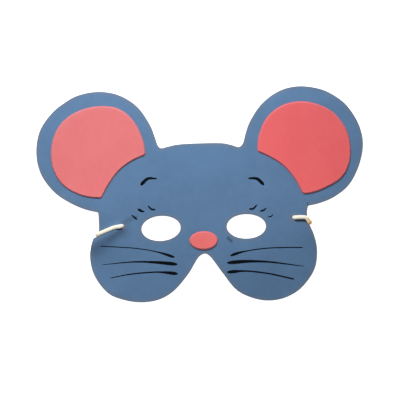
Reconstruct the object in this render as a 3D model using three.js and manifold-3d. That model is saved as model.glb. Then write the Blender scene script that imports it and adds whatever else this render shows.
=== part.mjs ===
// A child's mouse mask of craft foam: a die-cut face that bows back at its sides, two glued ear linings, a glued
// nose, and a round elastic that is threaded through both cheeks and knotted behind them.
// Millimetres. The mask lies face up: +X is the viewer's right, +Y runs towards the ears, +Z faces the viewer.
// The origin is on the surface that the mask lies on, under the middle of the face's outline.

import * as THREE from "three";
import { mergeVertices } from "three/addons/utils/BufferGeometryUtils.js";
import Module from "manifold-3d";

const wasm = await Module();
wasm.setup();

// Foam sheets
const FOAM = 2; // thickness of the face, the linings and the nose
const GLUE = 0.2; // glue line under a lining and under the nose
const HALF_WIDTH = 123; // from the middle to the tip of an ear
const HALF_HEIGHT = 80.2; // from the middle to the top of an ear
const CHEEK_REACH = 86.2; // from the middle to the outermost point of a cheek
const CHEEK_FOOT = 84.6; // from the middle to where a cheek rests on the surface

// The bow of the face: a flat strip down the middle, with the ear tips and the cheeks on the surface
const CROWN = 9; // height of the middle of the back
const FLAT_HALF = 24; // half the width of the flat strip
const EAR_BOW = (HALF_WIDTH - FLAT_HALF) ** 2 / (2 * CROWN);
const CHEEK_BOW = (CHEEK_FOOT - FLAT_HALF) ** 2 / (2 * CROWN);
const SIDE_BOW = 400; // the elastic holds the sides up a little here
const BOW = [
  { y: -HALF_HEIGHT, radius: CHEEK_BOW },
  { y: -57, radius: CHEEK_BOW },
  { y: -22, radius: SIDE_BOW },
  { y: 0, radius: EAR_BOW },
  { y: HALF_HEIGHT, radius: EAR_BOW },
];

// The right cheek has curled back: its drop at a line below its edge, fading off the line and past its ends
const CURL = { from: [22, -90], to: [56, -87], drop: 6.2, reach: 27, ends: 14 };

// Facets of the bowed sheets
const MARGIN = 1.4; // the uncut sheet reaches this far past the outline
const CELLS = { across: 31, along: 16 };
const PER_SPAN = 3; // straight pieces between two points of an outline
const ROUND_SIDES = 32; // straight pieces round an eye hole or the nose
const DIE_DEPTH = 4 * CROWN; // the cutting dies pass right through the sheets

// Elastic
const CORD = 3; // diameter
const CLEAR = 0.3; // from the elastic to the foam
const RUN = CORD / 2 + CLEAR; // from the elastic's middle to the foam that it lies on
const FLOOR_CLEAR = 0.15; // from the elastic to the surface under its free stretch
const CORD_SIDES = 8;
const HOLE_SIDES = 12;
const END_STEPS = 40;
const STRAP_STEPS = 48;
const KNOT = { long: 8, wide: 7, high: 5.2, sides: 16, rings: 10 };

// Outline of the face from the middle of its top, down each side to the notch under the nose
const TOP_MIDDLE = [0.8, 39.4];
const NOTCH = [2.1, -43.5];
const FACE = [
  { at: "brow line", left: [-16.4, 38.9], right: [18, 38.9] },
  { at: "brow line, outer", left: [-24, 37.5], right: [24.2, 37.4] },
  { at: "ear root", left: [-29, 36.5], right: [29.7, 35.8] },
  { at: "ear root, rising", left: [-31.1, 38.3], right: [32.4, 38.3] },
  { at: "ear, inner side, low", left: [-33.3, 45], right: [34.4, 44.8] },
  { at: "ear, inner side", left: [-36.4, 53.6], right: [37.7, 53.7] },
  { at: "ear, inner shoulder", left: [-45.9, 68.1], right: [47.7, 67.9] },
  { at: "ear, before the top", left: [-59.8, 77.3], right: [61.3, 77.2] },
  { at: "ear top", left: [-75, 80.2], right: [75.4, 80.2] },
  { at: "ear, past the top", left: [-91.2, 77.6], right: [92.6, 77.5] },
  { at: "ear, high shoulder", left: [-101.2, 72.3], right: [102.8, 72.3] },
  { at: "ear, outer shoulder", left: [-110.2, 65.4], right: [111.5, 64.9] },
  { at: "ear, outer side", left: [-119.8, 52.2], right: [119.8, 51.4] },
  { at: "ear tip", left: [-123, 35.4], right: [123, 36.9] },
  { at: "ear, below the tip", left: [-119.8, 19.5], right: [119.8, 20.2] },
  { at: "ear, underside", left: [-109.7, 5.4], right: [111.3, 4.9] },
  { at: "ear heel", left: [-97.2, -3.3], right: [99.3, -4.1] },
  { at: "ear heel, inner", left: [-86.1, -8.2], right: [87.6, -8.4] },
  { at: "ear corner", left: [-77.4, -10.4], right: [80.2, -9.8], corner: true },
  { at: "side wall", left: [-77.2, -13], right: [79.4, -13] },
  { at: "side wall, low", left: [-77.2, -22.9], right: [79.3, -17], corner: true },
  { at: "elastic's dent, upper", left: [-77.8, -25.2], right: [79.4, -18.9], corner: true },
  { at: "elastic's dent, lower", left: [-76.8, -28], right: [79.2, -23.2], corner: true },
  { at: "cheek root", left: [-81.4, -29.3], right: [81.1, -24.2], corner: true },
  { at: "cheek, high", left: [-83, -33.5], right: [84.5, -32.8] },
  { at: "cheek", left: [-84.7, -43.4], right: [CHEEK_REACH, -43.4] },
  { at: "cheek, low", left: [-82, -57], right: [84, -57.2] },
  { at: "jowl", left: [-71.5, -71.4], right: [73.3, -71.6] },
  { at: "jowl, low", left: [-59.2, -76.8], right: [60.9, -78.5] },
  { at: "bottom", left: [-46.5, -78.7], right: [48, -HALF_HEIGHT] },
  { at: "bottom, inner", left: [-33.7, -77], right: [35.4, -77.4] },
  { at: "muzzle", left: [-23, -71.3], right: [24.6, -71.3] },
  { at: "muzzle flank", left: [-11.1, -58.4], right: [14.4, -58] },
  { at: "notch side", left: [-2.2, -45.2], right: [5.2, -45.3] },
];

// Outline of an ear lining, from its inner point round the ear to its foot and back along the hollow edge
const LINING = [
  { at: "point", left: [-40.4, 31.9], right: [43.1, 32], corner: true },
  { at: "inner side", left: [-42.1, 43.1], right: [44.3, 43.1] },
  { at: "inner shoulder", left: [-49.9, 59], right: [50.9, 57.1] },
  { at: "before the top", left: [-61, 67.5], right: [63.2, 66.3] },
  { at: "top", left: [-75, 69.3], right: [77, 68.8] },
  { at: "past the top", left: [-87, 67.3], right: [89.3, 66.4] },
  { at: "outer shoulder", left: [-98.3, 61.9], right: [100.7, 60.3] },
  { at: "outer side, high", left: [-106.4, 53.6], right: [108.1, 51.7] },
  { at: "outer side", left: [-110.7, 43.6], right: [112.4, 41.9] },
  { at: "outermost", left: [-112, 33], right: [113.6, 32] },
  { at: "below the outermost", left: [-110.3, 21.9], right: [112.1, 20.7] },
  { at: "underside", left: [-103.6, 10.9], right: [106, 10.6] },
  { at: "heel", left: [-92.1, 3.6], right: [92.3, 2.7] },
  { at: "foot, outer", left: [-82, 0.8], right: [81.4, -0.6] },
  { at: "foot", left: [-74.5, 0.2], right: [76.4, -0.8], corner: true },
  { at: "hollow, low", left: [-69.7, 8.9], right: [71.4, 9.4] },
  { at: "hollow", left: [-61, 20.2], right: [62.6, 20.4] },
  { at: "hollow, high", left: [-50.8, 27.5], right: [52.5, 27.5] },
];

// Oval cuts, tilted by degrees: the eye holes are through the face, the nose is a piece of its own
const EYES = [
  { side: "left", middle: [-30.6, -23.6], wide: 29.4, high: 18.6, tilt: 2.8 },
  { side: "right", middle: [33.4, -23.9], wide: 29.4, high: 18.2, tilt: -0.8 },
];
const NOSE = { middle: [1.1, -33.6], wide: 21.7, high: 14 };

// Where the elastic goes through the cheek, lies on its front and turns round its edge
const THREADING = [
  {
    side: "left",
    hole: [-59.7, -21],
    front: [[-65, -21.8], [-69.3, -23.2], [-73.5, -24.9]],
    edge: [-77.4, -26.4],
    lead: [[-72.2, -22.6], [-70.6, -17.6]],
  },
  {
    side: "right",
    hole: [69.2, -18.3],
    front: [[73, -18.1], [78.5, -18.7]],
    edge: [80.5, -21.2],
    lead: [[75.4, -17], [73.4, -12]],
  },
];

// The free stretch of the elastic on the surface, from the left cheek to the right one
const STRAP_ROUTE = [
  [-69.2, -12.6],
  [-71.5, 1],
  [-76, 12],
  [-75, 23.5],
  [-64, 30.5],
  [-48, 31],
  [-32, 28],
  [-16, 26],
  [0, 25.2],
  [16, 26],
  [32, 28],
  [48, 31],
  [64, 30.5],
  [75, 23.5],
  [76.5, 12],
  [72.2, 1],
  [71.8, -7],
];

const FINISH = {
  face: { color: "#5a7da0", roughness: 0.9, metalness: 0 },
  lining: { color: "#e3696b", roughness: 0.9, metalness: 0 },
  elastic: { color: "#fbf1dc", roughness: 0.8, metalness: 0 },
};

// The bend's radius at a height on the face, with its curvature eased from row to row
function bowRadius(y) {
  const next = Math.max(1, BOW.findIndex((row) => row.y >= Math.min(y, HALF_HEIGHT)));
  const [from, to] = [BOW[next - 1], BOW[next]];
  const share = THREE.MathUtils.smoothstep(y, from.y, to.y);
  return 1 / THREE.MathUtils.lerp(1 / from.radius, 1 / to.radius, share);
}

// How far the curl takes the sheet down
function curlDrop(x, y) {
  const start = new THREE.Vector2(...CURL.from);
  const line = new THREE.Vector2(...CURL.to).sub(start);
  const local = new THREE.Vector2(x, y).sub(start);
  const along = local.dot(line) / line.length();
  const off = local.cross(line) / line.length();
  const past = Math.max(-along, along - line.length(), 0);
  return CURL.drop * Math.exp(-((off / CURL.reach) ** 2) - (past / CURL.ends) ** 2);
}

// Height of the back of the face over a point of the surface
function backHeight(x, y) {
  const past = Math.max(Math.abs(x) - FLAT_HALF, 0);
  return CROWN - past ** 2 / (2 * bowRadius(y)) - curlDrop(x, y);
}

const frontHeight = (x, y) => backHeight(x, y) + FOAM;

// A closed geometry as a solid for cutting, with only its positions kept and its shared corners merged
function solidOf(geometry) {
  const bare = geometry.clone();
  bare.deleteAttribute("normal");
  bare.deleteAttribute("uv");
  const merged = mergeVertices(bare);
  const vertProperties = new Float32Array(merged.attributes.position.array);
  const triVerts = new Uint32Array(merged.index.array);
  return new wasm.Manifold(new wasm.Mesh({ numProp: 3, vertProperties, triVerts }));
}

function geometryOf(solid) {
  const { vertProperties, triVerts } = solid.getMesh();
  const geometry = new THREE.BufferGeometry();
  geometry.setAttribute("position", new THREE.BufferAttribute(new Float32Array(vertProperties), 3));
  geometry.setIndex(new THREE.BufferAttribute(new Uint32Array(triVerts), 1));
  geometry.computeVertexNormals();
  return geometry;
}

// An uncut foam sheet that follows the bow, its underside a given height above the back of the face
function bowedSheet(above) {
  const width = 2 * (HALF_WIDTH + MARGIN);
  const height = 2 * (HALF_HEIGHT + MARGIN);
  const sheet = new THREE.BoxGeometry(width, height, FOAM, CELLS.across, CELLS.along, 1);
  const place = sheet.attributes.position;
  for (let i = 0; i < place.count; i += 1) {
    const layer = place.getZ(i) > 0 ? above + FOAM : above;
    place.setZ(i, backHeight(place.getX(i), place.getY(i)) + layer);
  }
  return solidOf(sheet);
}

// Smooth closed outline through points; it turns sharply only at the points marked as corners
function outline(points) {
  const first = points.findIndex((point) => point.corner);
  const turned = [...points.slice(first), ...points.slice(0, first + 1)];
  const drawn = [];
  let stretch = [turned[0]];
  for (const point of turned.slice(1)) {
    stretch.push(point);
    if (!point.corner) continue;
    const places = stretch.map(({ place }) => new THREE.Vector3(...place, 0));
    const curve = new THREE.CatmullRomCurve3(places, false, "centripetal");
    drawn.push(...curve.getPoints(PER_SPAN * (places.length - 1)).slice(0, -1));
    stretch = [point];
  }
  return drawn.map(({ x, y }) => new THREE.Vector2(x, y));
}

const column = (table, side) => table.map(({ [side]: place, corner }) => ({ place, corner }));

function faceOutline() {
  const right = column(FACE, "right");
  const left = column(FACE, "left").reverse();
  return outline([{ place: TOP_MIDDLE }, ...right, { place: NOTCH }, ...left]);
}

function oval({ middle, wide, high, tilt = 0 }, sides) {
  const turn = THREE.MathUtils.degToRad(tilt);
  const curve = new THREE.EllipseCurve(...middle, wide / 2, high / 2, 0, 2 * Math.PI, false, turn);
  return curve.getPoints(sides).slice(0, -1);
}

// A die: an outline with its holes, as a straight prism from below the surface to above the face
function die(points, holes = []) {
  const shape = new THREE.Shape(points);
  shape.holes = holes.map((hole) => new THREE.Path(hole));
  const prism = new THREE.ExtrudeGeometry(shape, { depth: DIE_DEPTH, bevelEnabled: false });
  return solidOf(prism.translate(0, 0, -CROWN));
}

function tube(points, steps) {
  const path = new THREE.CatmullRomCurve3(points, false, "centripetal");
  const ring = new THREE.EllipseCurve(0, 0, CORD / 2, CORD / 2).getPoints(CORD_SIDES).slice(0, -1);
  return new THREE.ExtrudeGeometry(new THREE.Shape(ring), { steps, extrudePath: path });
}

function maskFace() {
  const eyes = EYES.map((eye) => oval(eye, ROUND_SIDES));
  const holes = THREADING.map(({ hole }) => oval({ middle: hole, wide: 2 * RUN, high: 2 * RUN }, HOLE_SIDES));
  return geometryOf(bowedSheet(0).intersect(die(faceOutline(), [...eyes, ...holes])));
}

function earLining(side) {
  return geometryOf(bowedSheet(FOAM + GLUE).intersect(die(outline(column(LINING, side)))));
}

function nose() {
  return geometryOf(bowedSheet(FOAM + GLUE).intersect(die(oval(NOSE, ROUND_SIDES))));
}

// A quarter turn from one direction to another about a middle point, as three points
function quarterTurn(middle, from, to) {
  return [0, Math.PI / 4, Math.PI / 2].map((angle) => middle.clone()
    .addScaledVector(from, RUN * Math.cos(angle))
    .addScaledVector(to, RUN * Math.sin(angle)));
}

const overFront = ([x, y], lift = 0) => new THREE.Vector3(x, y, frontHeight(x, y) + lift);
const onSurface = ([x, y]) => new THREE.Vector3(x, y, CORD / 2 + FLOOR_CLEAR);
const heading = (from, to) => new THREE.Vector3(to[0] - from[0], to[1] - from[1], 0).normalize();

// Up through the hole, along the front, round the side edge and down to the surface
function threadedEnd({ hole, front, edge, lead }) {
  const up = new THREE.Vector3(0, 0, 1);
  const down = up.clone().negate();
  const away = heading(hole, front[0]);
  const out = heading(front.at(-1), edge);
  const rim = overFront(hole).addScaledVector(away, RUN);
  const topEdge = overFront(edge);
  const backEdge = topEdge.clone().addScaledVector(down, FOAM);
  return tube([
    new THREE.Vector3(...hole, backHeight(...hole)),
    ...quarterTurn(rim, away.clone().negate(), up),
    ...front.map((point) => overFront(point, RUN)),
    ...quarterTurn(topEdge, up, out),
    ...quarterTurn(backEdge, out, down),
    ...lead.map(onSurface),
  ], END_STEPS);
}

// The free stretch, which starts just past the end of each lead
function strap() {
  const [start, end] = THREADING.map(({ lead }) => onSurface(lead[1]).addScaledVector(heading(...lead), CLEAR));
  return tube([start, ...STRAP_ROUTE.map(onSurface), end], STRAP_STEPS);
}

// A knot drawn up against the back of the face
function knot({ hole }) {
  const { long, wide, high, sides, rings } = KNOT;
  const middle = backHeight(...hole) - CLEAR - high / 2;
  const ball = new THREE.SphereGeometry(1, sides, rings);
  return ball.scale(wide / 2, long / 2, high / 2).translate(...hole, middle);
}

const mask = new THREE.Group();

function place(name, geometry, finish) {
  const mesh = new THREE.Mesh(geometry, new THREE.MeshStandardMaterial(finish));
  mesh.name = name;
  mask.add(mesh);
}

place("mask_face", maskFace(), FINISH.face);
place("nose", nose(), FINISH.lining);
place("elastic_strap", strap(), FINISH.elastic);
for (const threading of THREADING) {
  const { side } = threading;
  place(`ear_lining_${side}`, earLining(side), FINISH.lining);
  place(`elastic_end_${side}`, threadedEnd(threading), FINISH.elastic);
  place(`knot_${side}`, knot(threading), FINISH.elastic);
}

export default mask;
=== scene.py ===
"""Looks of a child's mouse mask: a bowed craft-foam face with glued ear linings and nose, printed strokes,
and a braided elastic that is threaded through both cheeks and knotted behind them.

Metres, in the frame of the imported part: +X is the viewer's right, +Y runs towards the ears and +Z faces the
viewer. The origin is on the floor under the middle of the face. A point of the flat outline is the complex
number x + iy.
"""

import logging
import math
from dataclasses import dataclass, field, replace
from enum import Enum
from typing import Any, Callable, Sequence

import bpy
import numpy as np
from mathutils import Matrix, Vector, geometry


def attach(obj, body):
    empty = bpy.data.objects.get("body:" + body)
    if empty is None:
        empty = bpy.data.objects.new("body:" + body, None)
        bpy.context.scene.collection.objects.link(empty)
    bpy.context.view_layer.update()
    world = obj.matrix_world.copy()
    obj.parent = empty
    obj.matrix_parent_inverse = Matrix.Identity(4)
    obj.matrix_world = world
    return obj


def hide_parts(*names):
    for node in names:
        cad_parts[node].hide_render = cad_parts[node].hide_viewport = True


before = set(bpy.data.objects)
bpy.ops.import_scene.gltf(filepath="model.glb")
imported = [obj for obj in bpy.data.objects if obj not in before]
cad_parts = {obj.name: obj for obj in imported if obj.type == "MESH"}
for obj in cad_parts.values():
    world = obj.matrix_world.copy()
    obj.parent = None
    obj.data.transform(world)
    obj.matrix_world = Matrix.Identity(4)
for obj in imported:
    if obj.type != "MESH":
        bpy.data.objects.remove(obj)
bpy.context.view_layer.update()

BODY = "root"
LOG = logging.getLogger("mouse_mask")

Array = np.ndarray
Point = tuple[float, float]
Colour = tuple[float, float, float]
Height = Callable[[Array, Array], Array]

MM = 0.001
FOAM = 0.002
CORD = 0.0030
WHITE = (1.0, 1.0, 1.0)

# How many points draw an oval, and how many blocks long arrays are compared in
OVAL_POINTS = 256
BLOCKS = 24


class Side(Enum):
    """A side of the face, as the viewer sees it."""

    LEFT = "left"
    RIGHT = "right"


@dataclass(frozen=True)
class OutlineRow:
    """A point of an outline on each side of the face. The outline turns sharply only at a corner."""

    at: str
    left: Point
    right: Point
    corner: bool = False

    def place(self, side: Side) -> Point:
        """The row's point on one side."""
        return self.left if side is Side.LEFT else self.right


TOP_MIDDLE = OutlineRow("top middle", (0.0008, 0.0394), (0.0008, 0.0394))
NOTCH = OutlineRow("notch under the nose", (0.0021, -0.0435), (0.0021, -0.0435))

# Outline of the face from the middle of its top, down each side to the notch under the nose
FACE_ROWS = (
    OutlineRow("brow line", (-0.0164, 0.0389), (0.0180, 0.0389)),
    OutlineRow("brow line, outer", (-0.0240, 0.0375), (0.0242, 0.0374)),
    OutlineRow("ear root", (-0.0290, 0.0365), (0.0297, 0.0358)),
    OutlineRow("ear root, rising", (-0.0311, 0.0383), (0.0324, 0.0383)),
    OutlineRow("ear, inner side, low", (-0.0333, 0.0450), (0.0344, 0.0448)),
    OutlineRow("ear, inner side", (-0.0364, 0.0536), (0.0377, 0.0537)),
    OutlineRow("ear, inner shoulder", (-0.0459, 0.0681), (0.0477, 0.0679)),
    OutlineRow("ear, before the top", (-0.0598, 0.0773), (0.0613, 0.0772)),
    OutlineRow("ear top", (-0.0750, 0.0802), (0.0754, 0.0802)),
    OutlineRow("ear, past the top", (-0.0912, 0.0776), (0.0926, 0.0775)),
    OutlineRow("ear, high shoulder", (-0.1012, 0.0723), (0.1028, 0.0723)),
    OutlineRow("ear, outer shoulder", (-0.1102, 0.0654), (0.1115, 0.0649)),
    OutlineRow("ear, outer side", (-0.1198, 0.0522), (0.1198, 0.0514)),
    OutlineRow("ear tip", (-0.1230, 0.0354), (0.1230, 0.0369)),
    OutlineRow("ear, below the tip", (-0.1198, 0.0195), (0.1198, 0.0202)),
    OutlineRow("ear, underside", (-0.1097, 0.0054), (0.1113, 0.0049)),
    OutlineRow("ear heel", (-0.0972, -0.0033), (0.0993, -0.0041)),
    OutlineRow("ear heel, inner", (-0.0861, -0.0082), (0.0876, -0.0084)),
    OutlineRow("ear corner", (-0.0774, -0.0104), (0.0802, -0.0098), corner=True),
    OutlineRow("side wall", (-0.0772, -0.0130), (0.0794, -0.0130)),
    OutlineRow("side wall, low", (-0.0772, -0.0229), (0.0793, -0.0170), corner=True),
    OutlineRow("elastic's dent, upper", (-0.0778, -0.0252), (0.0794, -0.0189), corner=True),
    OutlineRow("elastic's dent, lower", (-0.0768, -0.0280), (0.0792, -0.0232), corner=True),
    OutlineRow("cheek root", (-0.0814, -0.0293), (0.0811, -0.0242), corner=True),
    OutlineRow("cheek, high", (-0.0830, -0.0335), (0.0845, -0.0328)),
    OutlineRow("cheek", (-0.0847, -0.0434), (0.0862, -0.0434)),
    OutlineRow("cheek, low", (-0.0820, -0.0570), (0.0840, -0.0572)),
    OutlineRow("jowl", (-0.0715, -0.0714), (0.0733, -0.0716)),
    OutlineRow("jowl, low", (-0.0592, -0.0768), (0.0609, -0.0785)),
    OutlineRow("bottom", (-0.0465, -0.0787), (0.0480, -0.0802)),
    OutlineRow("bottom, inner", (-0.0337, -0.0770), (0.0354, -0.0774)),
    OutlineRow("muzzle", (-0.0230, -0.0713), (0.0246, -0.0713)),
    OutlineRow("muzzle flank", (-0.0111, -0.0584), (0.0144, -0.0580)),
    OutlineRow("notch side", (-0.0022, -0.0452), (0.0052, -0.0453)),
)

# Outline of an ear lining, from its inner point round the ear to its foot and back along its hollow edge
LINING_ROWS = (
    OutlineRow("point", (-0.0404, 0.0319), (0.0431, 0.0320), corner=True),
    OutlineRow("inner side", (-0.0421, 0.0431), (0.0443, 0.0431)),
    OutlineRow("inner shoulder", (-0.0499, 0.0590), (0.0509, 0.0571)),
    OutlineRow("before the top", (-0.0610, 0.0675), (0.0632, 0.0663)),
    OutlineRow("top", (-0.0750, 0.0693), (0.0770, 0.0688)),
    OutlineRow("past the top", (-0.0870, 0.0673), (0.0893, 0.0664)),
    OutlineRow("outer shoulder", (-0.0983, 0.0619), (0.1007, 0.0603)),
    OutlineRow("outer side, high", (-0.1064, 0.0536), (0.1081, 0.0517)),
    OutlineRow("outer side", (-0.1107, 0.0436), (0.1124, 0.0419)),
    OutlineRow("outermost", (-0.1120, 0.0330), (0.1136, 0.0320)),
    OutlineRow("below the outermost", (-0.1103, 0.0219), (0.1121, 0.0207)),
    OutlineRow("underside", (-0.1036, 0.0109), (0.1060, 0.0106)),
    OutlineRow("heel", (-0.0921, 0.0036), (0.0923, 0.0027)),
    OutlineRow("foot, outer", (-0.0820, 0.0008), (0.0814, -0.0006)),
    OutlineRow("foot", (-0.0745, 0.0002), (0.0764, -0.0008), corner=True),
    OutlineRow("hollow, low", (-0.0697, 0.0089), (0.0714, 0.0094)),
    OutlineRow("hollow", (-0.0610, 0.0202), (0.0626, 0.0204)),
    OutlineRow("hollow, high", (-0.0508, 0.0275), (0.0525, 0.0275)),
)


@dataclass(frozen=True)
class Oval:
    """An oval cut, by its middle, its whole width and height, and its tilt in degrees."""

    middle: Point
    wide: float
    high: float
    tilt: float = 0.0

    def line(self) -> Array:
        """Draws the ellipse x = a cos t, y = b sin t, tilted.

        Returns:
            Its complex points, without the first one repeated.
        """
        turn = np.linspace(0, 2 * np.pi, OVAL_POINTS, endpoint=False)
        level = self.wide / 2 * np.cos(turn) + 0.5j * self.high * np.sin(turn)
        return complex(*self.middle) + level * np.exp(1j * math.radians(self.tilt))


EYES = {
    Side.LEFT: Oval((-0.0306, -0.0236), 0.0294, 0.0186, 2.8),
    Side.RIGHT: Oval((0.0334, -0.0239), 0.0294, 0.0182, -0.8),
}
NOSE = Oval((0.0011, -0.0336), 0.0217, 0.0140)


@dataclass(frozen=True)
class Threading:
    """Where the elastic goes through a cheek, lies on its front, turns round its edge and leads to the floor,
    how deep it has sunk into the front, and by what share the edge has pressed it wider."""

    hole: Point
    front: tuple[Point, ...]
    edge: Point
    lead: tuple[Point, ...]
    sunk: float
    spread: float


THREADING = {
    Side.LEFT: Threading(
        hole=(-0.0597, -0.0210),
        front=((-0.0650, -0.0218), (-0.0693, -0.0232), (-0.0735, -0.0249)),
        edge=(-0.0774, -0.0264),
        lead=((-0.0722, -0.0226), (-0.0706, -0.0176)),
        sunk=0.0001,
        spread=0.15,
    ),
    Side.RIGHT: Threading(
        hole=(0.0692, -0.0183),
        front=((0.0730, -0.0181), (0.0785, -0.0187)),
        edge=(0.0805, -0.0212),
        lead=((0.0754, -0.0170), (0.0734, -0.0120)),
        sunk=-0.0003,
        spread=0.35,
    ),
}

# The free stretch of the elastic on the floor, from the left cheek to the right one
STRAP_ROUTE = (
    (-0.0692, -0.0126),
    (-0.0715, 0.0010),
    (-0.0760, 0.0120),
    (-0.0750, 0.0235),
    (-0.0640, 0.0305),
    (-0.0480, 0.0310),
    (-0.0320, 0.0280),
    (-0.0160, 0.0260),
    (0.0000, 0.0252),
    (0.0160, 0.0260),
    (0.0320, 0.0280),
    (0.0480, 0.0310),
    (0.0640, 0.0305),
    (0.0750, 0.0235),
    (0.0765, 0.0120),
    (0.0722, 0.0010),
    (0.0718, -0.0070),
)


class Mark(Enum):
    """A kind of printed stroke, with how many of its widths its start takes to round out."""

    BROW = 1.1
    LASH = 1.3
    WHISKER = 2.2


@dataclass(frozen=True)
class Stroke:
    """A printed brush stroke: its line from the thick end to the tail, its widths there, the share of its
    length over which it thins, and how much finer its tail runs out."""

    name: str
    mark: Mark
    line: tuple[Point, ...]
    thick: float
    tail: float
    fade: float
    point: float = 0.0


STROKES = (
    Stroke("brow_left", Mark.BROW, ((-0.0450, 0.0091), (-0.0394, 0.0139), (-0.0327, 0.0137)),
           0.0026, 0.0003, 0.95),
    Stroke("brow_right", Mark.BROW, ((0.0475, 0.0067), (0.0424, 0.0115), (0.0359, 0.0121)),
           0.0026, 0.0005, 1.0),
    Stroke("lash_left_inner", Mark.LASH, ((-0.0344, -0.0095), (-0.0374, -0.0090), (-0.0400, -0.0062)),
           0.0014, 0.0011, 1.0),
    Stroke("lash_left_middle", Mark.LASH, ((-0.0476, -0.0086), (-0.0448, -0.0103), (-0.0425, -0.0108)),
           0.0025, 0.0006, 0.75),
    Stroke("lash_left_outer", Mark.LASH, ((-0.0482, -0.0166), (-0.0499, -0.0152), (-0.0525, -0.0128)),
           0.0016, 0.0007, 0.8),
    Stroke("lash_right_inner", Mark.LASH, ((0.0357, -0.0108), (0.0386, -0.0109), (0.0420, -0.0078)),
           0.0015, 0.0011, 1.0),
    Stroke("lash_right_middle", Mark.LASH, ((0.0438, -0.0128), (0.0466, -0.0122), (0.0489, -0.0104)),
           0.0014, 0.0011, 1.0),
    Stroke("lash_right_outer", Mark.LASH, ((0.0498, -0.0172), (0.0521, -0.0170), (0.0538, -0.0154)),
           0.0009, 0.0008, 1.0),
    Stroke("whisker_left_upper", Mark.WHISKER,
           ((-0.0211, -0.0456), (-0.0323, -0.0417), (-0.0478, -0.0384), (-0.0764, -0.0357)),
           0.00225, 0.00074, 0.19),
    Stroke("whisker_left_middle", Mark.WHISKER,
           ((-0.0191, -0.0509), (-0.0340, -0.0491), (-0.0513, -0.0482), (-0.0761, -0.0498)),
           0.00285, 0.00098, 0.375, 0.6),
    Stroke("whisker_left_lower", Mark.WHISKER,
           ((-0.0190, -0.0580), (-0.0300, -0.0566), (-0.0360, -0.0563), (-0.0546, -0.0574),
            (-0.0702, -0.0599)), 0.00300, 0.00108, 0.194, 0.4),
    Stroke("whisker_right_upper", Mark.WHISKER,
           ((0.0208, -0.0456), (0.0284, -0.0433), (0.0446, -0.0410), (0.0600, -0.0406), (0.0754, -0.0410)),
           0.00240, 0.00088, 0.16),
    Stroke("whisker_right_middle", Mark.WHISKER,
           ((0.0182, -0.0509), (0.0323, -0.0502), (0.0477, -0.0509), (0.0761, -0.0552)),
           0.00295, 0.00125, 0.36, 0.6),
    Stroke("whisker_right_lower", Mark.WHISKER,
           ((0.0180, -0.0579), (0.0308, -0.0574), (0.0474, -0.0595), (0.0685, -0.0647)),
           0.00310, 0.00120, 0.168),
)


# Curves


def spline(points: Array, per_span: int = 24) -> Array:
    """Carries a centripetal Catmull-Rom curve through points.

    Each span is a cubic in t. Its end slopes weigh the chords on both sides by the square roots of their
    lengths, and past the first and the last point the end chord is repeated.

    Args:
        points: The points, one row each, in two or three dimensions.
        per_span: How many points are drawn for each span.

    Returns:
        The drawn points, the first and last of the given ones among them.
    """
    before = 2 * points[:1] - points[1:2]
    after = 2 * points[-1:] - points[-2:-1]
    p = np.concatenate([before, points, after])
    p0, p1, p2, p3 = p[:-3], p[1:-2], p[2:-1], p[3:]
    chords = np.linalg.norm(np.diff(p, axis=0), axis=1, keepdims=True) ** 0.5
    d0, d1, d2 = chords[:-2], chords[1:-1], chords[2:]
    leave = d1 * ((p1 - p0) / d0 - (p2 - p0) / (d0 + d1) + (p2 - p1) / d1)
    arrive = d1 * ((p2 - p1) / d1 - (p3 - p1) / (d1 + d2) + (p3 - p2) / d2)
    t = np.linspace(0, 1, per_span, endpoint=False)[None, :, None]
    p1, p2, leave, arrive = (a[:, None, :] for a in (p1, p2, leave, arrive))
    bend = 3 * (p2 - p1) - 2 * leave - arrive
    twist = 2 * (p1 - p2) + leave + arrive
    drawn = p1 + leave * t + bend * t**2 + twist * t**3
    return np.concatenate([drawn.reshape(-1, points.shape[1]), points[-1:]])


def reached(line: Array) -> Array:
    """The length along a line up to each of its points."""
    return np.append(0, np.cumsum(np.linalg.norm(np.diff(line, axis=0), axis=1)))


def eased(share: Array) -> Array:
    """A share, held between 0 and 1 and eased at both by 3 t^2 - 2 t^3."""
    t = np.clip(share, 0, 1)
    return t**2 * (3 - 2 * t)


def evenly(line: Array, count: int) -> Array:
    """Spaces points evenly along an open line.

    Args:
        line: The line's points, one row each.
        count: How many points to give back.

    Returns:
        That many points at equal lengths along the line, its ends among them.
    """
    lengths = reached(line)
    stations = np.linspace(0, lengths[-1], count)
    return np.stack([np.interp(stations, lengths, axis) for axis in line.T], axis=1)


def outline(rows: Sequence[OutlineRow], sides: Sequence[Side]) -> Array:
    """Draws a closed outline through rows, smooth but for its corners.

    Args:
        rows: The rows in order round the outline.
        sides: The side that each row is taken from.

    Returns:
        The outline as complex points, without its first point repeated.
    """
    places = np.array([row.place(side) for row, side in zip(rows, sides)])
    corners = [i for i, row in enumerate(rows) if row.corner]
    ends = corners[1:] + [corners[0] + len(rows)]
    spans = [np.take(places, range(a, b + 1), axis=0, mode="wrap") for a, b in zip(corners, ends)]
    drawn = np.concatenate([spline(span)[:-1] for span in spans])
    return drawn[:, 0] + 1j * drawn[:, 1]


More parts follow.
